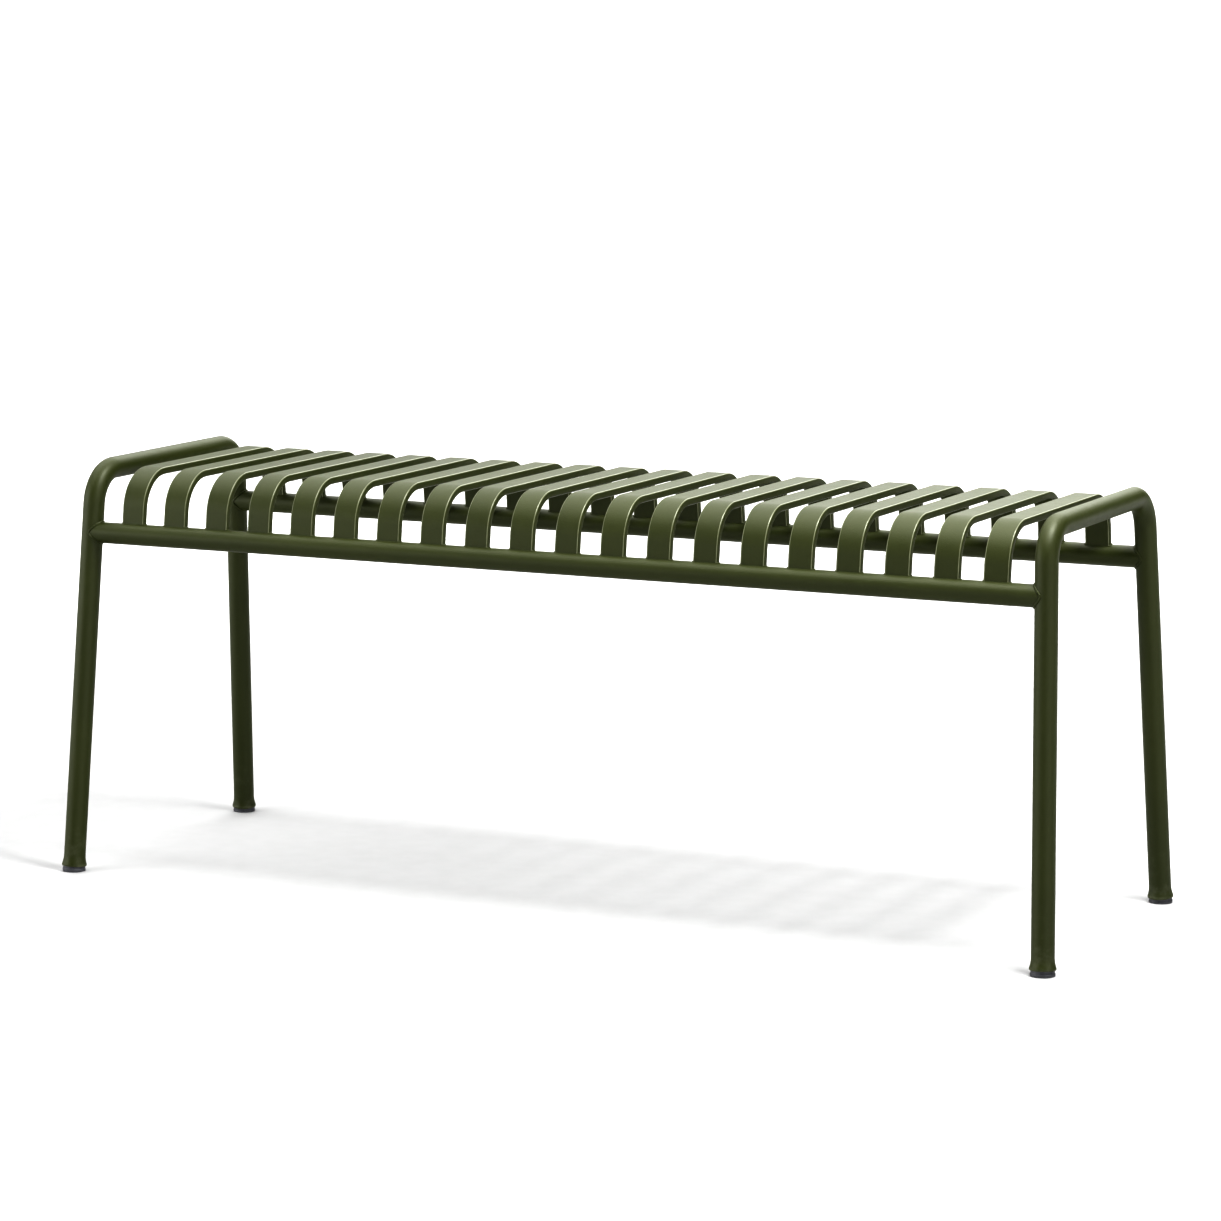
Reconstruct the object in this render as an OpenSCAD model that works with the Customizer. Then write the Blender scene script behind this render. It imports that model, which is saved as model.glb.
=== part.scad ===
// Backless bench: two bent tube end frames, two rails and a row of bent slats.
// X runs along the seat, Y from front to rear, Z up. The origin is on the floor, under the middle.

/* [Overall] */
// Height of the end frames above the floor
bench_h = 460; // [400:1:560]
// Distance between the end frames, axis to axis, at rail height
frame_span = 1123; // [900:1:1500]
// Distance between the front and rear rails, axis to axis
rail_span = 313; // [250:1:400]
// How far the rail axes lie below the top of the end frames
rail_drop = 80; // [76:1:120]

/* [Frame tube] */
// Outside diameter of the tube that the end frames are bent from
tube_d = 24; // [20:0.5:30]
// Wall thickness of the frame and rail tube
tube_wall = 2; // [1.5:0.1:3]
// How much slimmer the rails are than the end frames' tube
rail_slimmer = 0.5; // [0.5:0.5:4]
// Radius of the end frames' bends, measured to the tube's axis
frame_bend_r = 39; // [30:1:48]
// Angle that the legs lean out to the front and the rear
leg_lean = 4.6; // [0:0.1:8]
// Angle that each end frame leans out lengthwise
end_lean = 2; // [0:0.1:4]

/* [Seat slats] */
// Number of slats
slat_count = 20; // [6:1:24]
// Width of a slat
slat_w = 28; // [20:0.5:34]
// Thickness of a slat
slat_t = 8; // [6:0.5:10]
// Wall thickness of the flat tube that the slats are bent from
slat_wall = 2; // [1:0.1:2.5]
// Radius along the slats' long edges
slat_edge_r = 2.2; // [1:0.1:2.8]
// How far the slats' upper faces lie below the top of the end frames
slat_drop = 9; // [2:0.5:16]
// Radius of the slats' bends, measured to the slat's middle
slat_bend_r = 43.5; // [32:0.5:46]
// Angle that a slat's ends lean
slat_lean = 6.5; // [0:0.5:10]
// How far a slat's end stands in from the rail's axis
slat_inset = 1; // [-2:0.5:3]

/* [Feet] */
// Height on the leg at which the foot begins to flare
flare_top = 18; // [14:0.5:30]
// How much the leg's lip is wider than its tube, all round
flare_out = 1.9; // [1:0.1:3]
// Visible height of the glide under the leg, along the leg
glide_h = 5.5; // [4:0.5:8]
// How far the glide's edge stays inside the leg's lip
glide_inset = 1.1; // [0.5:0.1:2]
// Length of the glide's plug inside the leg
plug_l = 22; // [12:1:40]

/* [Welds and fits] */
// Size of a weld bead
bead = 1.3; // [0.8:0.1:2]
// Root gap left between a coped end and the tube it is welded to
root_gap = 0.05; // [0:0.01:0.2]
// Clearance between the glide's plug and the bore of the leg
plug_fit = 0.1; // [0.05:0.05:0.4]

/* [Hidden] */
tube_r = tube_d / 2;
bore_r = tube_r - tube_wall;
rail_r = (tube_d - rail_slimmer) / 2;
rail_h = bench_h - rail_drop;
rail_y = rail_span / 2;
frame_x = frame_span / 2;
// The end frame is drawn in its own plane, which leans, so heights are measured along that plane.
plane_rail_h = rail_h / cos(end_lean);
plane_top_h = (bench_h - tube_r) / cos(end_lean);
frame_foot_x = frame_x + rail_h * tan(end_lean);
frame_corner_y = rail_y - (plane_top_h - plane_rail_h) * tan(leg_lean);
leg_axis_l = plane_top_h / cos(leg_lean);
// A slat's outline, along its middle
slat_top_h = bench_h - slat_drop - slat_t / 2;
slat_corner_y = rail_y - slat_inset - (slat_top_h - rail_h) * tan(slat_lean);
slat_axis_l = (slat_top_h - rail_h) / cos(slat_lean);
slat_pitch = frame_span / (slat_count + 1);
lip_r = tube_r + flare_out;
lip_round = tube_wall / 2;
// Height along the leg at which the foot is widest
widest_h = glide_h + lip_round;
// Lengths that only have to reach past what they cut or join
cope_reach = 2 * tube_d;
// Where a tube is bent or flared it draws in by this much, outside and in the bore
draw_in = 0.2;
// A slat's wall is this much fuller in a bend, so that bend and straight join cleanly
slat_bend_fuller = 0.02;
// How far a straight reaches into its bend
bend_lap = 0.05;
bead_reach = 4 * bead;
floor_cut = 4 * tube_d;
round_steps = 72;
weld_steps = 144;
corner_steps = 4;
flare_steps = 8;
paint = [0.23, 0.26, 0.12];
plastic = [0.13, 0.13, 0.13];
FRONT = -1;
REAR = 1;
LEFT = -1;
RIGHT = 1;
$fn = round_steps;

function slat_name(i) = str("slat_", i < 10 ? "0" : "", i);
function slat_x(i) = (i - (slat_count + 1) / 2) * slat_pitch;
function corner_arc(x, y, r, start) = [
    for (i = [0:corner_steps])
        [x + r * cos(start + 90 * i / corner_steps), y + r * sin(start + 90 * i / corner_steps)]
];
function rounded_outline(a, b, r) = concat(
    corner_arc(a / 2 - r, b / 2 - r, r, 0),
    corner_arc(r - a / 2, b / 2 - r, r, 90),
    corner_arc(r - a / 2, r - b / 2, r, 180),
    corner_arc(a / 2 - r, r - b / 2, r, 270)
);
// Widening of the flare at height h along the leg: an S-curve from the tube to the lip
function flare_at(h) = flare_out * (1 + cos(180 * (h - widest_h) / (flare_top - widest_h))) / 2;

// Cross-sections

module tube_section(drawn_in = 0) {
    difference() {
        circle(r = tube_r - drawn_in);
        circle(r = bore_r - drawn_in);
    }
}

module slat_outline(grow = 0) {
    polygon(rounded_outline(slat_t + 2 * grow, slat_w + 2 * grow, slat_edge_r + grow));
}

module slat_section(fuller = 0) {
    core_t = slat_t - 2 * slat_wall - 2 * fuller;
    difference() {
        slat_outline(fuller);
        square([core_t, core_t + slat_w - slat_t], center = true);
    }
}

// Placing: x, y of a bent shape's own plane become Y, Z of the bench

module upright() {
    rotate([90, 0, 90]) children();
}

// Extrudes a section for a length along x, its own x turned to y
module run_along_x(length) {
    rotate([90, 0, 90]) linear_extrude(length) children();
}

// Stands at an outline's corner with x pointing down the leg
module down_leg(corner_y, corner_h, lean) {
    translate([-corner_y, corner_h]) rotate(-90 - lean) children();
}

// One leg and its bend, of an outline whose corner is at corner_y, corner_h.
// The first child is the straights' section and the second is the bends'.
module leg_and_bend(corner_y, corner_h, lean, bend_r, leg_l) {
    tangent = bend_r * tan((90 - lean) / 2);
    down_leg(corner_y, corner_h, lean) translate([tangent - bend_lap, 0])
        run_along_x(leg_l - tangent + bend_lap) rotate(180) children(0);
    translate([tangent - corner_y, corner_h - bend_r]) rotate(90)
        rotate_extrude(angle = 90 - lean) translate([bend_r, 0]) children(1);
}

// An upside-down U: two legs, two bends and the bar between them
module hoop(corner_y, corner_h, lean, bend_r, leg_l) {
    half_bar = corner_y - bend_r * tan((90 - lean) / 2) + bend_lap;
    leg_and_bend(corner_y, corner_h, lean, bend_r, leg_l) {
        children(0);
        children(1);
    }
    mirror([1, 0, 0]) leg_and_bend(corner_y, corner_h, lean, bend_r, leg_l) {
        children(0);
        children(1);
    }
    translate([-half_bar, corner_h]) run_along_x(2 * half_bar) children(0);
}

// Puts a shape drawn in an end frame's plane at the left or right end
module at_end(side) {
    mirror([side == LEFT ? 1 : 0, 0, 0])
        translate([frame_foot_x, 0, 0]) rotate([0, -end_lean, 0]) upright() children();
}

// Stands on a leg's axis at the floor, with z pointing up the leg
module up_leg(side, end) {
    at_end(side) mirror([end == REAR ? 1 : 0, 0, 0]) down_leg(frame_corner_y, plane_top_h, leg_lean)
        translate([leg_axis_l, 0]) rotate([0, -90, 0]) children();
}

// End frames

module flared_foot() {
    outer = [for (i = [flare_steps:-1:0]) widest_h + (flare_top - widest_h) * i / flare_steps];
    inner = [for (i = [0:flare_steps]) glide_h + (flare_top - glide_h) * i / flare_steps];
    rotate(-90) rotate_extrude() polygon(concat(
        [for (h = outer) [tube_r - draw_in + flare_at(h), h]],
        [[lip_r - lip_round / 2, glide_h]],
        [for (h = inner) [bore_r - draw_in + flare_at(max(h, widest_h)), h]]
    ));
}

module end_frame(side) {
    plain_leg_l = leg_axis_l - flare_top + bend_lap;
    color(paint) {
        at_end(side) hoop(frame_corner_y, plane_top_h, leg_lean, frame_bend_r, plain_leg_l) {
            tube_section();
            tube_section(draw_in);
        }
        up_leg(side, FRONT) flared_foot();
        up_leg(side, REAR) flared_foot();
    }
}

// The leg's outside around the rail's joint, for cutting what is coped to it
module leg_bar(side, end, radius) {
    joint_l = plane_rail_h / cos(leg_lean);
    up_leg(side, end) translate([0, 0, joint_l - cope_reach / 2]) cylinder(r = radius, h = cope_reach);
}

// Rails

module rail_bar(end, radius, from_x, to_x) {
    translate([from_x, end * rail_y, rail_h]) rotate([0, 90, 0])
        cylinder(r = radius, h = to_x - from_x);
}

module rail(end) {
    color(paint) difference() {
        rail_bar(end, rail_r, -frame_x, frame_x);
        rail_bar(end, rail_r - tube_wall, -frame_x, frame_x);
        leg_bar(LEFT, end, tube_r + root_gap);
        leg_bar(RIGHT, end, tube_r + root_gap);
    }
}

// Seat slats

module slat(i) {
    color(paint) difference() {
        translate([slat_x(i), 0, 0]) upright()
            hoop(slat_corner_y, slat_top_h, slat_lean, slat_bend_r, slat_axis_l) {
                slat_section();
                slat_section(slat_bend_fuller);
            }
        rail_bar(FRONT, rail_r + root_gap, slat_x(i) - slat_w, slat_x(i) + slat_w);
        rail_bar(REAR, rail_r + root_gap, slat_x(i) - slat_w, slat_x(i) + slat_w);
    }
}

// The lower end of a slat, as a solid bar from the rail's axis up
module slat_end_bar(end, i, grow, length) {
    translate([slat_x(i), 0, 0]) upright() mirror([end == REAR ? 1 : 0, 0, 0])
        down_leg(slat_corner_y, slat_top_h, slat_lean) translate([slat_axis_l - length, 0])
            run_along_x(length) slat_outline(grow);
}

// Glides

module glide(side, end) {
    color(plastic) difference() {
        up_leg(side, end) {
            translate([0, 0, -glide_h]) cylinder(r = lip_r - glide_inset, h = 2 * glide_h);
            translate([0, 0, glide_h]) cylinder(r = bore_r - plug_fit, h = plug_l);
        }
        translate([side * frame_foot_x - floor_cut / 2, end * rail_y - floor_cut, -floor_cut])
            cube([floor_cut, 2 * floor_cut, floor_cut]);
    }
}

// Welds

// Every rail weld is the right rear one, or its mirror image
module rail_weld(side, end) {
    $fn = weld_steps;
    near_x = frame_x - tube_r - bead_reach;
    color(paint) mirror([side == LEFT ? 1 : 0, 0, 0]) mirror([0, end == FRONT ? 1 : 0, 0]) intersection() {
        difference() {
            rail_bar(REAR, rail_r + bead, near_x, frame_x);
            rail_bar(REAR, rail_r, near_x - bead, frame_x + bead);
        }
        difference() {
            leg_bar(RIGHT, REAR, tube_r + bead);
            leg_bar(RIGHT, REAR, tube_r);
        }
    }
}

module slat_welds(end) {
    color(paint) for (i = [1:slat_count]) difference() {
        intersection() {
            slat_end_bar(end, i, bead, rail_r + bead_reach);
            rail_bar(end, rail_r + bead, slat_x(i) - slat_w, slat_x(i) + slat_w);
        }
        slat_end_bar(end, i, 0, rail_r + 2 * bead_reach);
        rail_bar(end, rail_r, slat_x(i) - slat_w, slat_x(i) + slat_w);
    }
}

end_frame(LEFT);  // end_frame_left
end_frame(RIGHT);  // end_frame_right
rail(FRONT);  // front_rail
rail(REAR);  // rear_rail
for (i = [1:slat_count])
    slat(i);
glide(LEFT, FRONT);  // glide_front_left
glide(RIGHT, FRONT);  // glide_front_right
glide(LEFT, REAR);  // glide_rear_left
glide(RIGHT, REAR);  // glide_rear_right
rail_weld(LEFT, FRONT);  // rail_weld_front_left
rail_weld(RIGHT, FRONT);  // rail_weld_front_right
rail_weld(LEFT, REAR);  // rail_weld_rear_left
rail_weld(RIGHT, REAR);  // rail_weld_rear_right
slat_welds(FRONT);  // front_slat_welds
slat_welds(REAR);  // rear_slat_welds
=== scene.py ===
import math

import bmesh
import bpy
from mathutils import Matrix, Vector


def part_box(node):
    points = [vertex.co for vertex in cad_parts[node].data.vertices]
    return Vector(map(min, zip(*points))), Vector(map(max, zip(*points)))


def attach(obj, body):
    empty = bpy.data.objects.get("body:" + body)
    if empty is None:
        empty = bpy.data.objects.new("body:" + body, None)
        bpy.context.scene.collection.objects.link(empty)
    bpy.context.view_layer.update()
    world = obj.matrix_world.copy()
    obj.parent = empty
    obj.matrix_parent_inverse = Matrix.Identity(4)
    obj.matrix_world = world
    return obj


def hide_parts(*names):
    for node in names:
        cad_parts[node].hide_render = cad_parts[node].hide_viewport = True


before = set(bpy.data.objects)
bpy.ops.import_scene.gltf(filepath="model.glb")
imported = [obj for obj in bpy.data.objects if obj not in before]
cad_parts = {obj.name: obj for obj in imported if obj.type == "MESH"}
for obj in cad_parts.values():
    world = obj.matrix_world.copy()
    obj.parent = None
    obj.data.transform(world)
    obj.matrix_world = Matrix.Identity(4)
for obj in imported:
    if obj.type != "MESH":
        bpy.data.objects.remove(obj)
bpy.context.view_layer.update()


# End frames. Each is one round steel tube of 24 mm, bent into an upside-down U whose two legs lean
# out to front and rear and whose whole plane leans a little outwards. The leg ends are flared and
# rolled to a soft lip. Frames, rails and slats are welded together, then powder coated as one.

TUBE_R = 0.012
TUBE_SIDES = 72
BEND_R = 0.039
BEND_STEPS = 26
LEG_LEAN = math.radians(4.6)
END_LEAN = math.radians(2.0)
FRAME_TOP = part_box("end_frame_right")[1].z
RAIL_LOW, RAIL_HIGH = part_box("front_rail")
RAIL_R = (RAIL_HIGH.z - RAIL_LOW.z) / 2
RAIL_Z = RAIL_LOW.z + RAIL_R
RAIL_Y = -(RAIL_LOW.y + RAIL_R)
FRAME_X = 0.5615
FOOT_X = FRAME_X + RAIL_Z * math.tan(END_LEAN)
PLANE_TOP = (FRAME_TOP - TUBE_R) / math.cos(END_LEAN)
PLANE_RAIL = RAIL_Z / math.cos(END_LEAN)
CORNER_Y = RAIL_Y - (PLANE_TOP - PLANE_RAIL) * math.tan(LEG_LEAN)
FOOT_Y = CORNER_Y + PLANE_TOP * math.tan(LEG_LEAN)
LEG_LENGTH = PLANE_TOP / math.cos(LEG_LEAN)
UP_LEG = Vector((0, math.sin(LEG_LEAN), math.cos(LEG_LEAN)))
FRONT_FOOT = Vector((0, -FOOT_Y, 0))
FLARE_START = 0.0195
SMOOTH_ANGLE = math.radians(40)

# How far apart points may lie and still count as one ring, one mirror seam or one point
RING_GAP = 0.0002
SEAM_GAP = 0.00005
POINT_GAP = 0.00001

# Height up the leg and radius: down the flare, round the lip and up into the bore behind the glide
FLARE = (
    (0.0178, 0.01203), (0.0162, 0.01210), (0.0146, 0.01224), (0.0131, 0.01246), (0.0117, 0.01275),
    (0.0104, 0.01308), (0.0093, 0.01340), (0.0084, 0.01367), (0.0077, 0.01385), (0.0071, 0.01393),
    (0.0065, 0.01389), (0.0060, 0.01372), (0.0057, 0.01348), (0.00555, 0.01318), (0.00555, 0.01285),
    (0.0058, 0.01255), (0.0064, 0.01228), (0.0080, 0.01195), (0.0105, 0.01140), (0.0140, 0.01060),
)

OLIVE = (0.0280, 0.0345, 0.0045, 1)
OLIVE_DEEP = (0.0245, 0.0305, 0.0040, 1)
OLIVE_WORN = (0.0600, 0.0690, 0.0240, 1)
# lightest tone: a painted highlight along the slats' rounded edges, and the bare worn lip at the feet
OLIVE_WEAR_AND_HIGHLIGHT = (0.3100, 0.3200, 0.2300, 1)
DUST = (0.2700, 0.2650, 0.2300, 1)
LIP_WEAR = (0.0058, 0.0092)
DUST_HEIGHT = (0.010, 0.070)


class Wire:
    """What comes out of one node's socket. Sums on it add Math nodes to the same board."""

    def __init__(self, board, socket):
        self.board = board
        self.socket = socket

    def math(self, operation, first, second):
        return self.board.node("ShaderNodeMath", {"operation": operation}, {0: first, 1: second})

    def __add__(self, other):
        return self.math("ADD", self, other)

    def __radd__(self, other):
        return self.math("ADD", other, self)

    def __sub__(self, other):
        return self.math("SUBTRACT", self, other)

    def __rsub__(self, other):
        return self.math("SUBTRACT", other, self)

    def __mul__(self, other):
        return self.math("MULTIPLY", self, other)

    def __rmul__(self, other):
        return self.math("MULTIPLY", other, self)


class Board:
    """A node tree that is written as expressions."""

    def __init__(self, tree):
        self.tree = tree

    def node(self, kind, settings=None, sockets=None, out=0):
        node = self.tree.nodes.new(kind)
        for name, value in (settings or {}).items():
            setattr(node, name, value)
        for key, value in (sockets or {}).items():
            if isinstance(value, Wire):
                self.tree.links.new(value.socket, node.inputs[key])
            else:
                node.inputs[key].default_value = value
        return Wire(self, node.outputs[out])

    def place(self):
        return self.node("ShaderNodeTexCoord", out="Object")

    def clouds(self, place, scale, detail=2.0, roughness=0.5):
        sockets = {"Vector": place, "Scale": scale, "Detail": detail, "Roughness": roughness}
        return self.node("ShaderNodeTexNoise", None, sockets)

    def fade(self, value, start, end):
        settings = {"interpolation_type": "SMOOTHSTEP"}
        return self.node("ShaderNodeMapRange", settings, {0: value, 1: start, 2: end, 3: 0.0, 4: 1.0})

    def tint(self, factor, first, second):
        sockets = {0: factor, 6: first, 7: second}
        return self.node("ShaderNodeMix", {"data_type": "RGBA"}, sockets, out=2)


def new_finish(name):
    material = bpy.data.materials.new(name)
    material.use_nodes = True
    board = Board(material.node_tree)
    shader = material.node_tree.nodes["Principled BSDF"]
    return material, board, shader


def powder_coat(name, edges, ripple):
    """Satin olive powder coat. Edges says whether the rounded long edges get a painted highlight,
    partly also a thinner coat; ripple is weld beneath it.
    """
    material, board, shader = new_finish(name)
    place = board.place()
    height = board.node("ShaderNodeSeparateXYZ", None, {0: place}, out="Z")
    drift = board.clouds(place, 7.0, 3.0)
    mottle = board.clouds(place, 85.0, 4.0, 0.6)
    grain = board.clouds(place, 560.0, 2.0, 0.6)
    dimples = {"Vector": place, "Scale": 1150.0}
    pits = board.node("ShaderNodeTexVoronoi", {"feature": "SMOOTH_F1"}, dimples)
    # slow drift of tone, then fine mottle
    paint = board.tint(board.fade(drift, 0.35, 0.65), OLIVE_DEEP, OLIVE)
    paint = board.tint(board.fade(mottle, 0.52, 0.80) * 0.10, paint, OLIVE_WORN)
    paint = board.tint(board.fade(grain, 0.55, 0.85) * 0.16, paint, OLIVE_WORN)
    # painted highlight along the rounded edges, partly also a thinner coat there; without edges, the
    # lip at the foot is worn lighter
    patchiness = board.fade(mottle, 0.38, 0.62)
    if edges:
        edge = board.node("ShaderNodeAttribute", {"attribute_name": "edge"}, None, out="Fac")
        wear_and_highlight = edge * (0.75 + patchiness * 0.25)
    else:
        wear_and_highlight = (1.0 - board.fade(height, *LIP_WEAR)) * (0.1 + patchiness * 0.15)
    paint = board.tint(wear_and_highlight * 0.70, paint, OLIVE_WEAR_AND_HIGHLIGHT)
    # a little dust clings low on the legs
    dusty = (1.0 - board.fade(height, *DUST_HEIGHT)) * board.fade(mottle, 0.45, 0.75) * 0.10
    paint = board.tint(dusty, paint, DUST)
    board.tree.links.new(paint.socket, shader.inputs["Base Color"])
    gloss = 0.43 + drift * 0.06 + mottle * 0.10 + dusty * 0.8 - wear_and_highlight * 0.24
    board.tree.links.new(gloss.socket, shader.inputs["Roughness"])
    relief = grain * 0.6 + pits * 0.4
    skin = board.node("ShaderNodeBump", None, {"Strength": 0.70, "Distance": 0.00030, "Height": relief})
    if ripple:
        waves = board.clouds(place, 420.0, 1.0)
        bumps = {"Strength": 0.5, "Distance": 0.0006, "Height": waves, "Normal": skin}
        skin = board.node("ShaderNodeBump", None, bumps)
    board.tree.links.new(skin.socket, shader.inputs["Normal"])
    shader.inputs["IOR"].default_value = 1.50
    shader.inputs["Specular Tint"].default_value = (0.98, 1.0, 0.88, 1)
    return material


def start_piece(name):
    """Names the primitive just added, brings its object to the origin and opens it for editing."""
    piece = bpy.context.object
    piece.name = name
    piece.data.name = name
    bpy.ops.object.transform_apply(location=True, rotation=True, scale=True)
    bpy.ops.object.mode_set(mode="EDIT")
    return piece


def pick(piece, wanted, kind="VERT"):
    """Selects the points or edges whose place satisfies wanted, and nothing else."""
    bpy.ops.mesh.select_mode(type=kind)
    bpy.ops.mesh.select_all(action="DESELECT")
    mesh = bmesh.from_edit_mesh(piece.data)
    if kind == "VERT":
        found = [vert for vert in mesh.verts if wanted(vert.co)]
    else:
        found = [edge for edge in mesh.edges if wanted((edge.verts[0].co + edge.verts[1].co) / 2)]
    for part in found:
        part.select = True
    mesh.select_flush(True)
    bmesh.update_edit_mesh(piece.data)


def pull(step):
    """Extrudes what is selected by a step."""
    bpy.ops.mesh.extrude_region_move(TRANSFORM_OT_translate={"value": step})


def pull_rings(foot, direction, rings, height, radius):
    """Extrudes the selected ring along a direction, through rings of given height and radius."""
    for next_height, next_radius in rings:
        pull(direction * (next_height - height))
        scale = next_radius / radius
        centre = foot + direction * next_height
        bpy.ops.transform.resize(value=(scale, scale, scale), center_override=centre)
        height, radius = next_height, next_radius


def close_shape():
    """Merges doubles, turns every face outwards and leaves edit mode."""
    bpy.ops.mesh.select_all(action="SELECT")
    bpy.ops.mesh.remove_doubles(threshold=POINT_GAP)
    bpy.ops.mesh.normals_make_consistent(inside=False)
    bpy.ops.object.mode_set(mode="OBJECT")


def only(piece):
    bpy.ops.object.select_all(action="DESELECT")
    piece.select_set(True)
    bpy.context.view_layer.objects.active = piece


def add_modifier(piece, kind, **settings):
    """Adds one modifier with its settings and applies it."""
    only(piece)
    modifier = piece.modifiers.new(kind.title(), kind)
    for name, value in settings.items():
        setattr(modifier, name, value)
    bpy.ops.object.modifier_apply(modifier=modifier.name)


def put(piece, matrix):
    """Moves the mesh itself, so that its object stays at the origin."""
    only(piece)
    piece.matrix_world = matrix
    bpy.ops.object.transform_apply(location=True, rotation=True, scale=True)


def copy_piece(piece, name):
    only(piece)
    bpy.ops.object.duplicate(linked=False)
    twin = bpy.context.object
    twin.name = name
    twin.data.name = name
    return twin


def finish_piece(piece, material, slot, *nodes):
    """Smooths and paints a piece, hangs it under the root and hides the CAD nodes that it stands for.
    """
    only(piece)
    bpy.ops.object.shade_smooth_by_angle(angle=SMOOTH_ANGLE)
    # broad faces stay flat right up to their rounded edges
    add_modifier(piece, "WEIGHTED_NORMAL", weight=90, keep_sharp=True)
    piece.data.materials.clear()
    piece.data.materials.append(material)
    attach(piece, "root")
    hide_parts(*nodes)


def lean_out(side):
    """Puts what is drawn in an end frame's own plane at the left (-1) or right (1) end."""
    return Matrix.Translation((side * FOOT_X, 0, 0)) @ Matrix.Rotation(-side * END_LEAN, 4, "Y")


def at_flare_start(place):
    return abs((place - FRONT_FOOT).dot(UP_LEG) - FLARE_START) < RING_GAP


frame_paint = powder_coat("frame_paint_olive", edges=False, ripple=False)

bend_reach = BEND_R * math.tan((math.pi / 2 - LEG_LEAN) / 2)
bpy.ops.object.select_all(action="DESELECT")
bpy.ops.mesh.primitive_circle_add(
    vertices=TUBE_SIDES, radius=TUBE_R, location=FRONT_FOOT + UP_LEG * FLARE_START,
    rotation=(-LEG_LEAN, 0, 0))
right_frame = start_piece("right_end_frame")
pull(UP_LEG * (LEG_LENGTH - bend_reach - FLARE_START))
bpy.ops.mesh.spin(
    steps=BEND_STEPS, angle=math.pi / 2 - LEG_LEAN, axis=(1, 0, 0),
    center=(0, bend_reach - CORNER_Y, PLANE_TOP - BEND_R))
pull(Vector((0, CORNER_Y - bend_reach, 0)))
pick(right_frame, at_flare_start)
pull_rings(FRONT_FOOT, UP_LEG, FLARE, FLARE_START, TUBE_R)
bpy.ops.mesh.edge_face_add()
bpy.ops.object.mode_set(mode="OBJECT")
add_modifier(right_frame, "MIRROR", use_axis=(False, True, False), merge_threshold=SEAM_GAP)
bpy.ops.object.mode_set(mode="EDIT")
close_shape()
left_frame = copy_piece(right_frame, "left_end_frame")
put(right_frame, lean_out(1))
put(left_frame, lean_out(-1))
finish_piece(right_frame, frame_paint, "frame_paint", "end_frame_right")
finish_piece(left_frame, frame_paint, "frame_paint", "end_frame_left")


# Rails. Two straight steel tubes, half a millimetre slimmer than the frames, carry the slats. Their
# ends are coped to a saddle, so that they sit on the legs' inner sides, and are welded all round.

RAIL_SIDES = 64
CUTTER_SIDES = 96
CUTTER_LENGTH = 0.07
COPE_SINK = 0.0002
LEG_DIRECTION = {
    (side, end): (Matrix.Rotation(-side * END_LEAN, 3, "Y") @ Vector((0, -end * UP_LEG.y, UP_LEG.z)))
    for side in (-1, 1) for end in (-1, 1)
}


def leg_cutter(side, end):
    """A short round bar in the place of a leg, where the rail meets it."""
    turn = Vector((0, 0, 1)).rotation_difference(LEG_DIRECTION[side, end])
    place = (side * FRAME_X, end * RAIL_Y, RAIL_Z)
    bpy.ops.object.select_all(action="DESELECT")
    bpy.ops.mesh.primitive_cylinder_add(
        vertices=CUTTER_SIDES, radius=TUBE_R - COPE_SINK, depth=CUTTER_LENGTH, location=place,
        rotation=turn.to_euler())
    bpy.ops.object.transform_apply(location=True, rotation=True, scale=True)
    return bpy.context.object


def cut_away(piece, cutter):
    add_modifier(piece, "BOOLEAN", operation="DIFFERENCE", solver="EXACT", object=cutter)
    bpy.data.objects.remove(cutter)


for end, name in ((-1, "front"), (1, "rear")):
    bpy.ops.object.select_all(action="DESELECT")
    bpy.ops.mesh.primitive_circle_add(
        vertices=RAIL_SIDES, radius=RAIL_R, fill_type="NGON",
        location=(-FRAME_X, end * RAIL_Y, RAIL_Z), rotation=(0, math.pi / 2, 0))
    rail = start_piece(name + "_rail_tube")
    pull(Vector((2 * FRAME_X, 0, 0)))
    close_shape()
    for side in (-1, 1):
        cut_away(rail, leg_cutter(side, end))
    finish_piece(rail, frame_paint, "frame_paint", name + "_rail")


# Rail welds. A steel bead runs round each coped rail end, fullest above and below, where the torch
# reaches into the corner, and slim in front and behind, where the two tubes almost share a side.

BEAD_R = 0.0016
BEAD_POINTS = 120
BEAD_SMOOTHNESS = 3
CAST_FROM = 0.03
weld_paint = powder_coat("weld_paint_olive", edges=False, ripple=True)


def ring_to_bead(ring, size, fullness):
    """Turns a closed ring of edges into a round bead whose radius follows the place on the ring."""
    only(ring)
    bpy.ops.object.convert(target="CURVE")
    line = ring.data
    line.bevel_depth = size
    line.bevel_resolution = BEAD_SMOOTHNESS
    for spline in line.splines:
        for step, point in enumerate(spline.points):
            ripple = 1.0 + 0.07 * math.sin(step * math.pi / 2) + 0.04 * math.sin(step * 1.3)
            point.radius = fullness(point.co) * ripple
    bpy.ops.object.convert(target="MESH")
    bpy.ops.object.mode_set(mode="EDIT")
    close_shape()


def rail_bead_fullness(place):
    return 0.6 + 0.4 * min(1.0, abs(place.z - RAIL_Z) / RAIL_R * 1.3)


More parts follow.
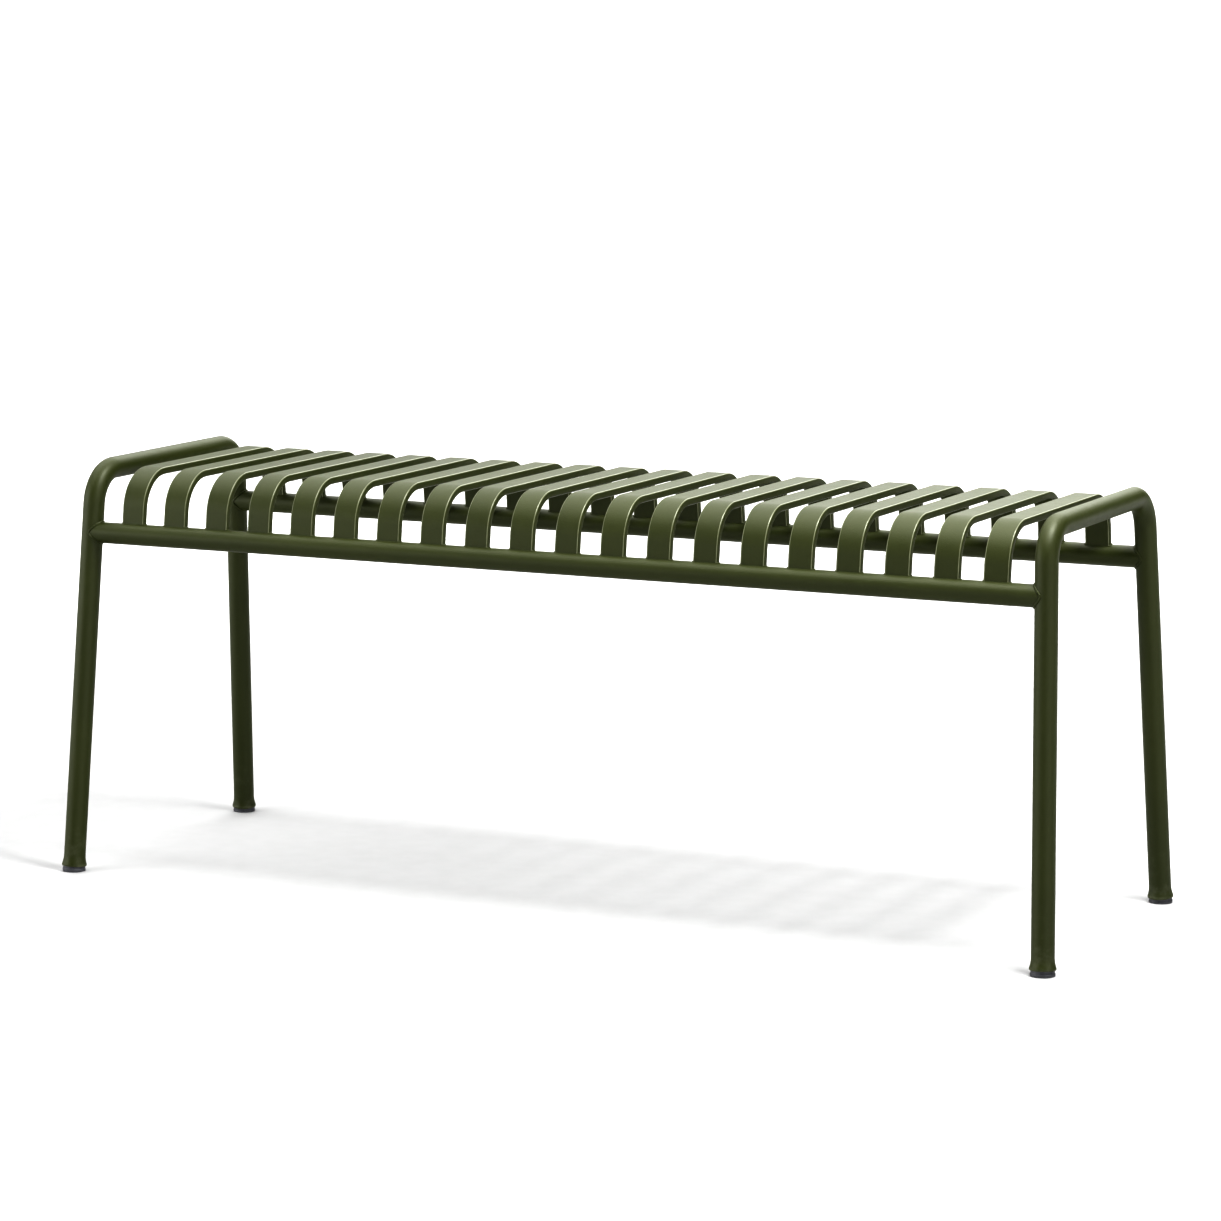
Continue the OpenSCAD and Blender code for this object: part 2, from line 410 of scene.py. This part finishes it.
for side, side_name, frame_piece in ((-1, "left", left_frame), (1, "right", right_frame)):
    for end, end_name in ((-1, "front"), (1, "rear")):
        bpy.ops.object.select_all(action="DESELECT")
        bpy.ops.mesh.primitive_circle_add(
            vertices=BEAD_POINTS, radius=RAIL_R,
            location=(side * (FRAME_X - CAST_FROM), end * RAIL_Y, RAIL_Z),
            rotation=(0, math.pi / 2, 0))
        bead = start_piece(f"{end_name}_{side_name}_rail_bead")
        bpy.ops.object.mode_set(mode="OBJECT")
        add_modifier(
            bead, "SHRINKWRAP", wrap_method="PROJECT", target=frame_piece, use_project_x=True,
            use_positive_direction=side > 0, use_negative_direction=side < 0)
        ring_to_bead(bead, BEAD_R, rail_bead_fullness)
        finish_piece(bead, weld_paint, "weld_paint", f"rail_weld_{end_name}_{side_name}")


# Slats. Twenty flat steel tubes of 28 by 8 mm with rounded edges, all alike, bent down at both ends
# and set on top of the two rails, 53 mm apart. They are welded before the powder coat goes on.

SLAT_COUNT = 20
SLAT_BOXES = [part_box(f"slat_{number:02d}") for number in range(1, SLAT_COUNT + 1)]
SLAT_MIDDLES = [(low.x + high.x) / 2 for low, high in SLAT_BOXES]
SLAT_W = 0.028
SLAT_T = 0.008
SLAT_EDGE_R = 0.0022
SLAT_EDGE_STEPS = 7
SLAT_BEND_R = 0.0435
SLAT_BEND_STEPS = 24
SLAT_LEAN = math.radians(6.5)
SLAT_TOP = SLAT_BOXES[0][1].z
SLAT_MID_Z = SLAT_TOP - SLAT_T / 2
SLAT_STAND_Y = RAIL_Y - 0.001
SLAT_CORNER_Y = SLAT_STAND_Y - (SLAT_MID_Z - RAIL_Z) * math.tan(SLAT_LEAN)
SLAT_DOWN = Vector((0, -math.sin(SLAT_LEAN), -math.cos(SLAT_LEAN)))
SLAT_DROP = (SLAT_MID_Z - RAIL_Z) / math.cos(SLAT_LEAN)
FOOT_CUTTER_LENGTH = 0.05
FOOT_SINK = 0.0001
slat_reach = SLAT_BEND_R * math.tan((math.pi / 2 - SLAT_LEAN) / 2)

slat_paint = powder_coat("slat_paint_olive", edges=True, ripple=False)

# the tube's outline stands upright at the middle of the seat and is pulled to the front
bpy.ops.object.select_all(action="DESELECT")
bpy.ops.mesh.primitive_plane_add(size=1, location=(0, 0, SLAT_MID_Z), rotation=(math.pi / 2, 0, 0))
slat = bpy.context.object
slat.scale = (SLAT_W, SLAT_T, 1)
slat = start_piece("seat_slat_01")
bpy.ops.mesh.bevel(offset=SLAT_EDGE_R, segments=SLAT_EDGE_STEPS, affect="VERTICES")
bpy.ops.mesh.delete(type="ONLY_FACE")
bpy.ops.mesh.select_all(action="SELECT")
pull(Vector((0, slat_reach - SLAT_CORNER_Y, 0)))
bpy.ops.mesh.spin(
    steps=SLAT_BEND_STEPS, angle=math.pi / 2 - SLAT_LEAN, axis=(-1, 0, 0),
    center=(0, slat_reach - SLAT_CORNER_Y, SLAT_MID_Z - SLAT_BEND_R))
pull(SLAT_DOWN * (SLAT_DROP - slat_reach))
bpy.ops.mesh.edge_face_add()
bpy.ops.object.mode_set(mode="OBJECT")
add_modifier(slat, "MIRROR", use_axis=(False, True, False), merge_threshold=SEAM_GAP)
bpy.ops.object.mode_set(mode="EDIT")
close_shape()

for end in (-1, 1):
    bpy.ops.object.select_all(action="DESELECT")
    bpy.ops.mesh.primitive_cylinder_add(
        vertices=CUTTER_SIDES, radius=RAIL_R - FOOT_SINK, depth=FOOT_CUTTER_LENGTH,
        location=(0, end * RAIL_Y, RAIL_Z), rotation=(0, math.pi / 2, 0))
    bpy.ops.object.transform_apply(location=True, rotation=True, scale=True)
    cut_away(slat, bpy.context.object)


def mark_edges(piece):
    """Marks how near each point is to the middle of a rounded long edge, where the coat is thin and a
    highlight is painted.
    """
    flat = SLAT_W / 2 - SLAT_EDGE_R
    marks = piece.data.attributes.new("edge", "FLOAT", "POINT")
    for point, mark in zip(piece.data.vertices, marks.data):
        out = (abs(point.co.x) - flat) / SLAT_EDGE_R
        mark.value = max(0.0, 1.0 - abs(out - 0.45) * 4.0)


mark_edges(slat)
slats = [slat] + [copy_piece(slat, f"seat_slat_{number:02d}") for number in range(2, SLAT_COUNT + 1)]
for number, (piece, middle) in enumerate(zip(slats, SLAT_MIDDLES), 1):
    put(piece, Matrix.Translation((middle, 0, 0)))
    finish_piece(piece, slat_paint, "slat_paint", f"slat_{number:02d}")


# Slat welds. Each slat's foot is welded to the rail: a short full bead across both narrow sides,
# and only a hairline along the broad faces, where the joint is pulled tight.

SLAT_BEAD_R = 0.0011
SLAT_BEAD_CORNER_STEPS = 8
SLAT_BEAD_SIDE_CUTS = 7


def slat_bead_fullness(place):
    side = (abs(place.x) - (SLAT_W / 2 - SLAT_EDGE_R)) / SLAT_EDGE_R
    return 0.24 + 0.76 * min(1.0, max(0.0, side))


def on_flat_side(place):
    return not SLAT_W / 2 - SLAT_EDGE_R < abs(place.x) < SLAT_W / 2 - POINT_GAP


for end, name in ((-1, "front"), (1, "rear")):
    down = Vector((0, end * -SLAT_DOWN.y, SLAT_DOWN.z))
    turn = Vector((0, 0, -1)).rotation_difference(down)
    start = Vector((0, end * SLAT_STAND_Y, RAIL_Z)) - down * CAST_FROM
    bpy.ops.object.select_all(action="DESELECT")
    bpy.ops.mesh.primitive_plane_add(size=1, location=(0, 0, 0))
    bead = bpy.context.object
    bead.scale = (SLAT_W, SLAT_T, 1)
    bead = start_piece(name + "_slat_beads")
    bpy.ops.mesh.bevel(offset=SLAT_EDGE_R, segments=SLAT_BEAD_CORNER_STEPS, affect="VERTICES")
    bpy.ops.mesh.delete(type="ONLY_FACE")
    pick(bead, on_flat_side, "EDGE")
    bpy.ops.mesh.subdivide(number_cuts=SLAT_BEAD_SIDE_CUTS)
    bpy.ops.object.mode_set(mode="OBJECT")
    bead.matrix_world = Matrix.Translation(start) @ turn.to_matrix().to_4x4()
    rail = bpy.data.objects[name + "_rail_tube"]
    add_modifier(
        bead, "SHRINKWRAP", wrap_method="PROJECT", target=rail, use_project_z=True,
        use_positive_direction=False, use_negative_direction=True)
    bpy.ops.object.transform_apply(location=True, rotation=True, scale=True)
    ring_to_bead(bead, SLAT_BEAD_R, slat_bead_fullness)
    beads = [bead] + [copy_piece(bead, f"{name}_bead_{number}") for number in range(1, SLAT_COUNT)]
    for piece, middle in zip(beads, SLAT_MIDDLES):
        put(piece, Matrix.Translation((middle, 0, 0)))
    bpy.ops.object.select_all(action="DESELECT")
    for piece in beads:
        piece.select_set(True)
    bpy.context.view_layer.objects.active = bead
    bpy.ops.object.join()
    finish_piece(bead, weld_paint, "weld_paint", name + "_slat_welds")


# Glides. A dark grey moulded plastic plug closes each leg: a straight collar shows under the lip and
# a slightly wider pad with a rounded rim stands flat on the floor. The plug is pushed into the bore.

GLIDE_LOW = -0.0030
GLIDE_LOW_R = 0.0119

# Height up the leg and radius, from just below the floor up into the bore
GLIDE_RINGS = (
    (-0.0004, 0.01262), (0.0007, 0.01288), (0.0016, 0.01294), (0.0024, 0.01286), (0.0029, 0.01268),
    (0.0031, 0.01246), (0.0033, 0.01236), (0.0054, 0.01234), (0.0062, 0.01205), (0.0100, 0.01100),
    (0.0130, 0.00990), (0.0260, 0.00985), (0.0270, 0.00930),
)
GREY = (0.060, 0.061, 0.068, 1)
GREY_SCUFFED = (0.160, 0.160, 0.170, 1)


def moulded_plastic(name):
    """Dark grey nylon with a fine spark-eroded grain, scuffed where it drags over the ground."""
    material, board, shader = new_finish(name)
    place = board.place()
    height = board.node("ShaderNodeSeparateXYZ", None, {0: place}, out="Z")
    grain = board.clouds(place, 1500.0, 3.0)
    scratch_place = board.node("ShaderNodeMapping", None, {"Vector": place, "Scale": (1.0, 1.0, 9.0)})
    scratches = board.clouds(scratch_place, 260.0, 4.0, 0.7)
    low = 1.0 - board.fade(height, 0.0004, 0.0022)
    scuffed = low * board.fade(scratches, 0.45, 0.62)
    colour = board.tint(board.fade(grain, 0.4, 0.7) * 0.25, GREY, GREY_SCUFFED)
    colour = board.tint(scuffed * 0.6, colour, GREY_SCUFFED)
    board.tree.links.new(colour.socket, shader.inputs["Base Color"])
    gloss = 0.42 + grain * 0.12 + scuffed * 0.25
    board.tree.links.new(gloss.socket, shader.inputs["Roughness"])
    relief = grain * 0.5 + scratches * 0.5
    skin = board.node("ShaderNodeBump", None, {"Strength": 0.25, "Distance": 0.0002, "Height": relief})
    board.tree.links.new(skin.socket, shader.inputs["Normal"])
    return material


glide_plastic = moulded_plastic("glide_plastic_grey")
bpy.ops.object.select_all(action="DESELECT")
bpy.ops.mesh.primitive_circle_add(
    vertices=TUBE_SIDES, radius=GLIDE_LOW_R, fill_type="NGON",
    location=FRONT_FOOT + UP_LEG * GLIDE_LOW, rotation=(-LEG_LEAN, 0, 0))
glide = start_piece("front_right_glide_pad")
pull_rings(FRONT_FOOT, UP_LEG, GLIDE_RINGS, GLIDE_LOW, GLIDE_LOW_R)
close_shape()
glide_rear = copy_piece(glide, "rear_right_glide_pad")
put(glide_rear, Matrix.Rotation(math.pi, 4, "Z"))
for source, end_name in ((glide, "front"), (glide_rear, "rear")):
    for side, side_name in ((-1, "left"), (1, "right")):
        piece = source
        if side < 0:
            piece = copy_piece(source, f"{end_name}_left_glide_pad")
        put(piece, lean_out(side))
        only(piece)
        bpy.ops.object.mode_set(mode="EDIT")
        bpy.ops.mesh.select_all(action="SELECT")
        bpy.ops.mesh.bisect(plane_co=(0, 0, 0), plane_no=(0, 0, 1), use_fill=True, clear_inner=True)
        close_shape()
        finish_piece(piece, glide_plastic, "glide_plastic", f"glide_{end_name}_{side_name}")


# Studio. The bench stands on a plain pale floor that runs out of sight. Wide soft panels glow all
# round it, a key light high at the right lays a faint shadow, and a weak fill stands at the left.

FLOOR_SIZE = 500
FLOOR_SINK = 0.0001
FLOOR_GREY = (0.425, 0.425, 0.425, 1)
FLOOR_GREY_PALE = (0.435, 0.435, 0.435, 1)
# far off, the floor is painted nearly white: painted light standing in for a brightly lit backdrop
FLOOR_FAR_PAINTED_LIGHT = (0.95, 0.95, 0.95, 1)

bpy.ops.object.select_all(action="DESELECT")
bpy.ops.mesh.primitive_plane_add(size=FLOOR_SIZE, location=(0, 0, -FLOOR_SINK))
floor = bpy.context.object
floor.name = "studio_floor"
bpy.ops.object.transform_apply(location=True, rotation=True, scale=True)
floor_material, board, shader = new_finish("studio_floor_pale")
place = board.place()
cloudy = board.clouds(place, 40.0, 3.0)
away = board.node("ShaderNodeVectorMath", {"operation": "LENGTH"}, {0: place}, out="Value")
near = board.tint(board.fade(cloudy, 0.3, 0.7), FLOOR_GREY, FLOOR_GREY_PALE)
# painted light: the floor is painted lighter with distance from the bench
pale = board.tint(board.fade(away, 0.9, 3.5), near, FLOOR_FAR_PAINTED_LIGHT)
board.tree.links.new(pale.socket, shader.inputs["Base Color"])
shader.inputs["Roughness"].default_value = 1.0
shader.inputs["Specular IOR Level"].default_value = 0.0
floor.data.materials.append(floor_material)

world = bpy.data.worlds.new("studio")
world.use_nodes = True
bpy.context.scene.world = world
board = Board(world.node_tree)
direction = board.node("ShaderNodeTexCoord", out="Generated")
rightward = board.node("ShaderNodeSeparateXYZ", None, {0: direction}, out="X")
backward = board.node("ShaderNodeSeparateXYZ", None, {0: direction}, out="Y")
upward = board.node("ShaderNodeSeparateXYZ", None, {0: direction}, out="Z")
back = board.fade(backward, -0.1, 0.2)
front = 1.0 - back
above_low = board.fade(upward, 0.26, 0.40)
above_middle = board.fade(upward, 0.68, 0.82)
low = 1.0 - above_low
middle = above_low * (1.0 - above_middle)
high = above_middle * (1.0 - board.fade(rightward, -0.07, 0.07))
# near the floor: one panel behind at the left, and one at each side in front
low_behind = board.fade(rightward, -0.62, -0.30) * (1.0 - board.fade(rightward, -0.15, 0.05))
low_left = 1.0 - board.fade(rightward, -0.47, -0.33)
low_right = board.fade(rightward, 0.40, 0.60)
low_glow = back * low_behind * 1.6 + front * (low_left + low_right) * 2.2
# halfway up, behind only: brightest from the left to the middle, dim at the right
middle_left = board.fade(rightward, -0.45, -0.20)
middle_right = board.fade(rightward, 0.13, 0.27)
middle_glow = back * (1.4 + middle_left * 2.2 - middle_right * 3.2)
glow = low * low_glow + middle * middle_glow + high * 2.8
seen = board.node("ShaderNodeLightPath", out="Is Camera Ray")
strength = seen + (1.0 - seen) * glow
board.tree.links.new(strength.socket, world.node_tree.nodes["Background"].inputs["Strength"])
world.node_tree.nodes["Background"].inputs["Color"].default_value = (1, 1, 1, 1)


def soft_light(name, place, aim, width, length, power):
    data = bpy.data.lights.new(name, "AREA")
    data.shape = "RECTANGLE"
    data.size = width
    data.size_y = length
    data.energy = power
    light = bpy.data.objects.new(name, data)
    light.location = place
    light.rotation_euler = (Vector(aim) - Vector(place)).to_track_quat("-Z", "Y").to_euler()
    bpy.context.scene.collection.objects.link(light)
    light.visible_camera = False


soft_light("key_from_right", (1.05, -0.25, 2.6), (0, 0, 0.3), 0.8, 0.8, 79)
soft_light("fill_from_left", (-1.9, -1.3, 0.9), (-0.6, 0, 0.25), 0.9, 0.9, 8)


# Camera. It stands off the bench's front, towards the right end, at a seated person's eye height,
# with a long lens.

data = bpy.data.cameras.new("camera")
data.lens = 124.27
data.sensor_width = 36
camera = bpy.data.objects.new("camera", data)
camera.location = (1.97278, -4.09855, 1.00554)
camera.rotation_euler = (math.radians(90 - 8.7297), 0, math.radians(25.6692))
data.clip_end = 1000
bpy.context.scene.collection.objects.link(camera)
bpy.context.scene.camera = camera
bpy.context.scene.view_settings.view_transform = "Standard"
bpy.context.scene.view_settings.look = "Very High Contrast"
